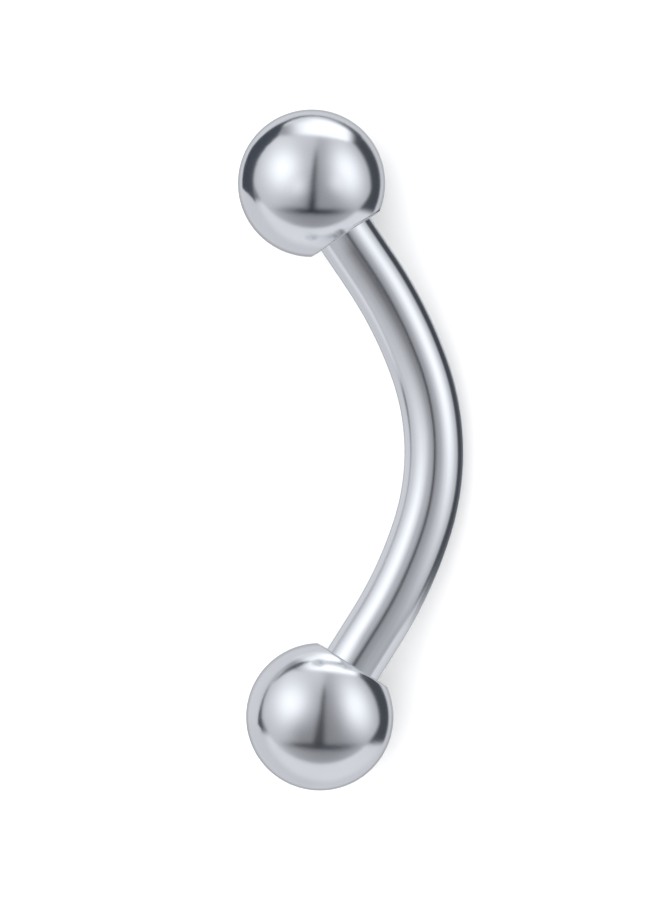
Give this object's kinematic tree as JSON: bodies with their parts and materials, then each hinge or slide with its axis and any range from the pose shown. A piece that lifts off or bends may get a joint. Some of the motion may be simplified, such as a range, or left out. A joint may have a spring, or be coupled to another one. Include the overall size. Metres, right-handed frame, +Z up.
{
  "type": "eyebrow ring",
  "caption": "Curved barbell for an eyebrow piercing: a bent round steel bar with a screw-on ball at each end.",
  "frame": {"origin": "on the surface it lies on, below the middle of its box", "axes": "+Y along the line from the lower ball to the upper ball, +X from that line towards the crown of the bend, +Z up from the surface"},
  "size_m": [0.0044, 0.0138, 0.003],
  "materials": {
    "bar_steel": "uncoated surgical stainless steel, polished along the bar to a mirror",
    "ball_steel": "uncoated surgical stainless steel, turned and polished to a mirror"
  },
  "bodies": {
    "bar": {"curved_bar": "bar_steel"},
    "upper_ball": {"upper_ball": "ball_steel"},
    "lower_ball": {"lower_ball": "ball_steel"}
  },
  "joints": [
    {"name": "upper_ball_unscrew", "type": "slide", "parent": "bar", "child": "upper_ball", "axis": [-0.5052, 0.8387, 0.2035], "range_m": [0, 0.0025]},
    {"name": "lower_ball_unscrew", "type": "slide", "parent": "bar", "child": "lower_ball", "axis": [-0.5052, -0.8387, 0.2035], "range_m": [0, 0.0025]}
  ]
}
